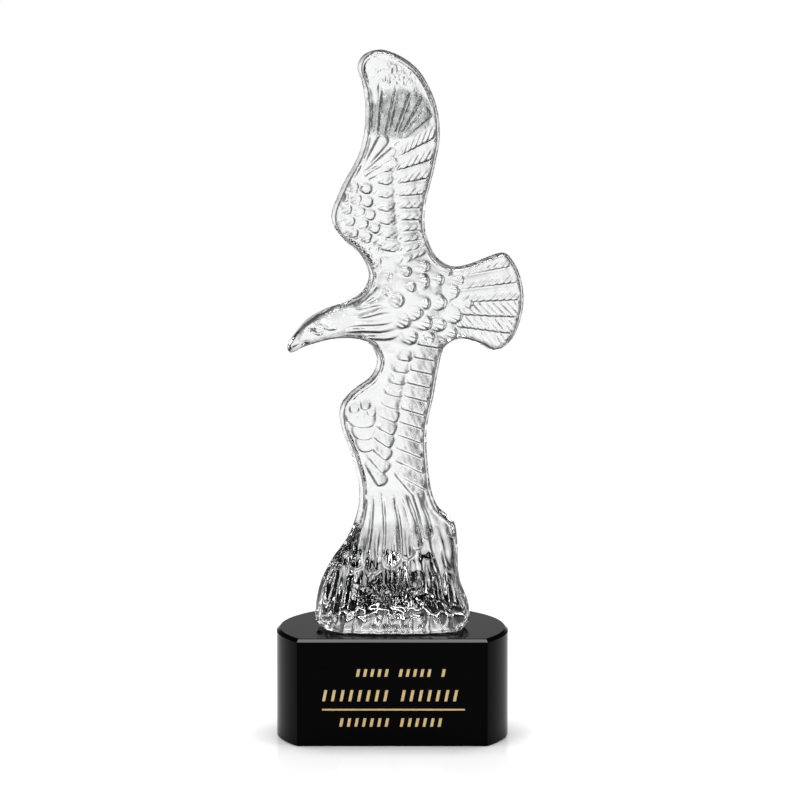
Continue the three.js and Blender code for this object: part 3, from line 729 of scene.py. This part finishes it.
def flatSheet(pitch):                            # a grid in the plane of the wings, cut to the outline
    low, high = outline.min(axis=0), outline.max(axis=0)
    floor = casting["foot"] - casting["sunk"]
    firstRow = floor + 0.1 * pitch               # only the grid's lowest row is under this height
    across = math.ceil((high[0] - low[0]) / pitch) + 2
    up = math.ceil((high[1] - floor) / pitch) + 2
    bm = bmesh.new()
    bmesh.ops.create_grid(bm, x_segments=across, y_segments=up, size=0.5)
    bmesh.ops.scale(bm, vec=(across * pitch, up * pitch, 1), verts=bm.verts)
    bmesh.ops.rotate(bm, matrix=Matrix.Rotation(math.pi / 2, 3, "X"), verts=bm.verts)
    middle = Vector(((low[0] + high[0]) / 2, 0, floor + up * pitch / 2))
    bmesh.ops.translate(bm, vec=middle, verts=bm.verts)
    points = coordinates(bm)
    inset, _, _ = measure(points[:, 0], points[:, 2])
    outside = [v for v, d in zip(bm.verts, inset) if d < -casting["overhang"] * pitch]
    bmesh.ops.delete(bm, geom=outside, context="VERTS")
    while True:                                  # corners that hang by a point, and loose ends
        pinched = [v for v in bm.verts if not v.link_faces
                   or v.is_boundary and sum(e.is_boundary for e in v.link_edges) != 2]
        if not pinched:
            break
        bmesh.ops.delete(bm, geom=pinched, context="VERTS")
    corners = [v for v in bm.verts if len(v.link_edges) == 2 and v.co.z > firstRow]
    bmesh.ops.dissolve_verts(bm, verts=corners)
    return bm, firstRow


def snapRim(bm, firstRow):                       # the sheet's rim onto the front edge line
    rim = [v for v in bm.verts if v.is_boundary and v.co.z > firstRow]
    lowest = sorted((v for v in bm.verts if v.co.z <= firstRow), key=lambda v: v.co.x)
    ends = [lowest[0], lowest[-1]]
    for _ in range(casting["snaps"]):
        points = np.array([v.co for v in rim + ends])
        inset, outward, _ = measure(points[:, 0], points[:, 2])
        for v, d, n in zip(rim + ends, inset, outward):
            v.co.x += n[0] * d
            if v not in ends:
                v.co.z += n[1] * d
    fixed = set(rim) | set(lowest)
    loose = [v for v in bm.verts if v not in fixed and any(e.other_vert(v) in fixed for e in v.link_edges)]
    loose += [e.other_vert(v) for v in loose for e in v.link_edges if e.other_vert(v) not in fixed]
    loose = list(dict.fromkeys(loose))
    for _ in range(casting["smoothing"]):
        bmesh.ops.smooth_vert(bm, verts=loose, factor=0.5, use_axis_x=True, use_axis_y=False,
                              use_axis_z=True)


def closedShell(bm):                             # front at y = -1, back at y = +1, rows of wall between
    for v in bm.verts:
        v.co.y = -1
    lifted = bmesh.ops.extrude_face_region(bm, geom=bm.faces[:])
    back = [g for g in lifted["geom"] if isinstance(g, bmesh.types.BMVert)]
    bmesh.ops.translate(bm, vec=(0, 2, 0), verts=back)
    struts = [e for e in bm.edges if abs(e.verts[0].co.y - e.verts[1].co.y) > 1]
    bmesh.ops.subdivide_edges(bm, edges=struts, cuts=casting["wallRows"], use_grid_fill=True)
    finer = [e for e in bm.edges if min(v.co.y for v in e.verts) < casting["onFace"]]
    bmesh.ops.subdivide_edges(bm, edges=finer, cuts=1, use_grid_fill=True)
    bmesh.ops.triangulate(bm, faces=[f for f in bm.faces if len(f.verts) > 4])


def sculpt(bm):
    points = coordinates(bm)
    x, t, z = points.T.copy()
    inset, outward, step = measure(x, z)
    within = np.maximum(inset, 0)
    depth = np.zeros(len(x))
    for side, sign in (("front", -1), ("back", 1)):
        mine = sign * t > casting["onFace"]
        depth[mine] = surfaceDepth(side, x[mine], z[mine], within[mine]) * sign
        between = (sign * t > 0) & ~mine
        depth[between] = t[between] * surfaceDepth(side, x[between], z[between], within[between])
    bulge = step * (1 - np.abs(t) ** wall["bulge"]) * (1 - smoothStep(inset, *wall["bulgeFades"]))
    bulge *= np.abs(t) < casting["onFace"]
    placed = np.stack([x + outward[:, 0] * bulge, depth, z + outward[:, 1] * bulge], axis=1)
    low = casting["foot"] - casting["sunk"]
    placed[:, 2] = np.where(z < low + touch, low, placed[:, 2])
    moveTo(bm, placed * mm)


def makeEagle():
    bm, firstRow = flatSheet(casting["pitch"])
    snapRim(bm, firstRow)
    closedShell(bm)
    sculpt(bm)
    bmesh.ops.recalc_face_normals(bm, faces=bm.faces)
    for f in bm.faces:
        f.smooth = True
    triangles = sum(len(f.verts) - 2 for f in bm.faces)
    openEdges = sum(not e.is_manifold for e in bm.edges)
    print("eagle:", triangles, "triangles,", openEdges, "open edges")
    piece = newPiece("eagle_casting", bm, crystal)
    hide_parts("eagle")


makeEagle()


# The black glass block, with the marking sunk into its flat front

blockLow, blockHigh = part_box("base")
block = {
    "radius": blockHigh[0] / mm, "flat": -blockLow[1] / mm, "height": blockHigh[2] / mm,
    "bevel": 1.5, "footBevel": 0.4, "segments": 180, "sharpFrom": 20,
}
marking = {"depth": 0.4, "fill": 0.3, "stroke": 1.3, "slant": 0.2}
markingRows = [
    {"left": -15.9, "right": 24.6, "z": 32.6, "height": 3.4, "pitch": 3.1, "gapEvery": 6},
    {"left": -30.6, "right": 31.7, "z": 22.5, "height": 5.0, "pitch": 3.8, "gapEvery": 9},
    {"left": -30.6, "right": 31.7, "z": 16.3, "height": 0.8, "pitch": 0, "gapEvery": 0},
    {"left": -23.2, "right": 24.2, "z": 10.6, "height": 3.8, "pitch": 3.3, "gapEvery": 8},
]


def strokePlaces():                              # left end, middle height, width, height, lean of each
    for line in markingRows:
        length = line["right"] - line["left"]
        if not line["pitch"]:
            yield line["left"], line["z"], length, line["height"], 0.0
            continue
        for i in range(int(length / line["pitch"])):
            if i % line["gapEvery"] != line["gapEvery"] - 1:
                x = line["left"] + i * line["pitch"]
                yield x, line["z"], marking["stroke"], line["height"], line["height"] * marking["slant"]


def strokeBars(front, back):                     # every stroke as a slanted bar between two depths
    bm = bmesh.new()
    for x, z, width, height, lean in strokePlaces():
        shear = Matrix(((width, 0, lean, x + (width + lean) / 2), (0, back - front, 0, (front + back) / 2),
                        (0, 0, height, z), (0, 0, 0, 1)))
        bmesh.ops.create_cube(bm, size=1, matrix=shear)
    bmesh.ops.scale(bm, vec=(mm, mm, mm), verts=bm.verts)
    return bm


def makeBlock():
    bm = bmesh.new()
    bmesh.ops.create_circle(bm, cap_ends=True, radius=block["radius"], segments=block["segments"])
    bmesh.ops.bisect_plane(bm, geom=bm.verts[:] + bm.edges[:] + bm.faces[:], dist=1e-5,
                           plane_co=(0, -block["flat"], 0), plane_no=(0, -1, 0), clear_outer=True)
    raised = bmesh.ops.extrude_face_region(bm, geom=bm.faces[:])
    top = [g for g in raised["geom"] if isinstance(g, bmesh.types.BMVert)]
    bmesh.ops.translate(bm, vec=(0, 0, block["height"]), verts=top)
    bmesh.ops.recalc_face_normals(bm, faces=bm.faces)
    upper = [e for e in bm.edges if all(v.co.z > block["height"] - touch for v in e.verts)]
    bmesh.ops.bevel(bm, geom=upper, offset=block["bevel"], offset_type="OFFSET", affect="EDGES", segments=1,
                    profile=0.5, material=-1)
    lower = [e for e in bm.edges if all(v.co.z < touch for v in e.verts)]
    bmesh.ops.bevel(bm, geom=lower, offset=block["footBevel"], offset_type="OFFSET", affect="EDGES",
                    segments=1, profile=0.5, material=-1)
    for f in bm.faces:
        f.smooth = False
    bmesh.ops.scale(bm, vec=(mm, mm, mm), verts=bm.verts)
    piece = newPiece("black_block", bm, blackGlass)
    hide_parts("base")
    bottom = -block["flat"] + marking["depth"]
    cutter = newPiece("stroke_cutter", strokeBars(-block["flat"] - 1, bottom), blackGlass)
    carve = piece.modifiers.new("marking", "BOOLEAN")
    carve.operation = "DIFFERENCE"
    carve.solver = "EXACT"
    carve.object = cutter
    carved = bpy.data.meshes.new_from_object(piece.evaluated_get(bpy.context.evaluated_depsgraph_get()))
    piece.modifiers.clear()
    piece.data = carved
    bpy.data.objects.remove(cutter)
    fill = strokeBars(bottom - marking["fill"], bottom)
    bmesh.ops.recalc_face_normals(fill, faces=fill.faces)
    newPiece("marking_fill", fill, goldFill)
    print("block:", len(piece.data.polygons), "faces")
    for f in piece.data.polygons:
        f.use_smooth = True
    piece.data.set_sharp_from_angle(angle=math.radians(block["sharpFrom"]))


makeBlock()


# Studio: a pale floor, soft lights, and a world that is bright low down and dark above and in front

studio = {
    "floorRadius": 0.45, "floor": (0.865, 0.865, 0.87, 1.0), "floorShader": {"Roughness": 0.14, "IOR": 1.5},
    "white": 1.0, "dim": 0.2, "dark": 0.02,      # the world's levels, from low to high
    "horizon": (-1.0, 21.0), "upper": (14.0, 28.0),      # degrees above the horizon where they change
    "belowLevel": 0.68, "below": (15.0, 36.0), "underfoot": (44.0, 58.0),        # a greyer band below it
    "frontLevel": 0.06, "front": (-0.5, 0.0),
    "card": 0.8, "cardFrom": (-36.0, -28.0), "cardTo": (-9.0, -3.0), "cardAhead": (0.1, 0.4),
    "flagDark": 0.14, "flagFrom": (4.0, 24.0), "flagTo": (30.0, 46.0),   # behind, degrees to either side
    "aim": (0, 0, 0.1),
    "lights": [
        {"name": "overhead", "place": (0.0, 0.25, 2.2), "size": (1.8, 1.5), "power": 92.0},
        {"name": "front left", "place": (-1.6, -2.2, 1.7), "size": (0.9, 1.3), "power": 26.0},
        {"name": "front right", "place": (1.9, -1.7, 1.2), "size": (0.5, 1.4), "power": 14.0},
    ],
}


def makeFloor():
    bm = bmesh.new()
    bmesh.ops.create_circle(bm, cap_ends=True, radius=studio["floorRadius"], segments=96)
    mesh = bpy.data.meshes.new("floor")
    bm.to_mesh(mesh)
    bm.free()
    floor = bpy.data.objects.new("floor", mesh)
    bpy.context.scene.collection.objects.link(floor)
    mesh.materials.append(newMaterial("pale floor", studio["floor"], studio["floorShader"]))
    floor.visible_transmission = False           # the crystal refracts the world and not the floor's rim


def makeWorld():
    world = bpy.data.worlds.new("studio")
    bpy.context.scene.world = world
    sky = Finish(world)
    direction = sky.node("ShaderNodeTexCoord")
    east, north, height = [sky.axis(direction, i) for i in range(3)]
    up = height.math("ARCSINE") * (180 / math.pi)
    under = 0 - up
    ahead = 0 - north                            # towards the side the camera stands on
    near = up.step(*studio["horizon"])
    far = up.step(*studio["upper"])
    down = under.step(*studio["below"]) * (1 - under.step(*studio["underfoot"]))
    bright = studio["white"] - near * (studio["white"] - studio["dim"])
    bright = bright - far * (studio["dim"] - studio["dark"])
    bright = bright - down * (studio["white"] - studio["belowLevel"])
    bright = bright * ahead.step(*studio["front"]).between(1.0, studio["frontLevel"])
    card = up.step(*studio["cardFrom"]) * (1 - up.step(*studio["cardTo"]))
    bright = bright + card * ahead.step(*studio["cardAhead"]) * studio["card"]
    aside = east.math("ARCTAN2", north).math("ABSOLUTE") * (180 / math.pi)
    flag = aside.step(*studio["flagFrom"]) * (1 - aside.step(*studio["flagTo"]))
    seen = bright * flag.between(1.0, studio["flagDark"])
    backdrop = sky.node("ShaderNodeLightPath")
    level = seen + backdrop * (1 - seen)         # the backdrop itself is plain white
    glow = sky.node("ShaderNodeBackground", inputs={"Color": (1, 1, 1, 1), "Strength": level})
    sky.node("ShaderNodeOutputWorld", inputs={"Surface": glow})


def makeLights():
    for spec in studio["lights"]:
        lamp = bpy.data.lights.new(spec["name"], "AREA")
        lamp.shape = "RECTANGLE"
        lamp.size, lamp.size_y = spec["size"]
        lamp.energy = spec["power"]
        holder = bpy.data.objects.new(spec["name"], lamp)
        bpy.context.scene.collection.objects.link(holder)
        holder.location = spec["place"]
        aim = Vector(studio["aim"]) - Vector(spec["place"])
        holder.rotation_euler = aim.to_track_quat("-Z", "Y").to_euler()


makeFloor()
makeWorld()
makeLights()
print("studio ready")


# Camera, fitted to the photograph

viewpoint = {
    "place": (0.003343, -3.0, 0.637), "pitch": -9.254, "lens": 313.285, "sensor": 36,
    "nearest": 0.1, "farthest": 50, "bounces": 24,
}
lens = bpy.data.cameras.new("camera")
lens.lens = viewpoint["lens"]
lens.sensor_width = viewpoint["sensor"]
lens.clip_start = viewpoint["nearest"]
lens.clip_end = viewpoint["farthest"]
camera = bpy.data.objects.new("camera", lens)
bpy.context.scene.collection.objects.link(camera)
camera.location = viewpoint["place"]
camera.rotation_euler = (math.radians(90 + viewpoint["pitch"]), 0, 0)
bpy.context.scene.camera = camera
bpy.context.scene.view_settings.view_transform = "Standard"
bpy.context.scene.cycles.max_bounces = viewpoint["bounces"]
bpy.context.scene.cycles.transmission_bounces = viewpoint["bounces"]
print("camera ready")
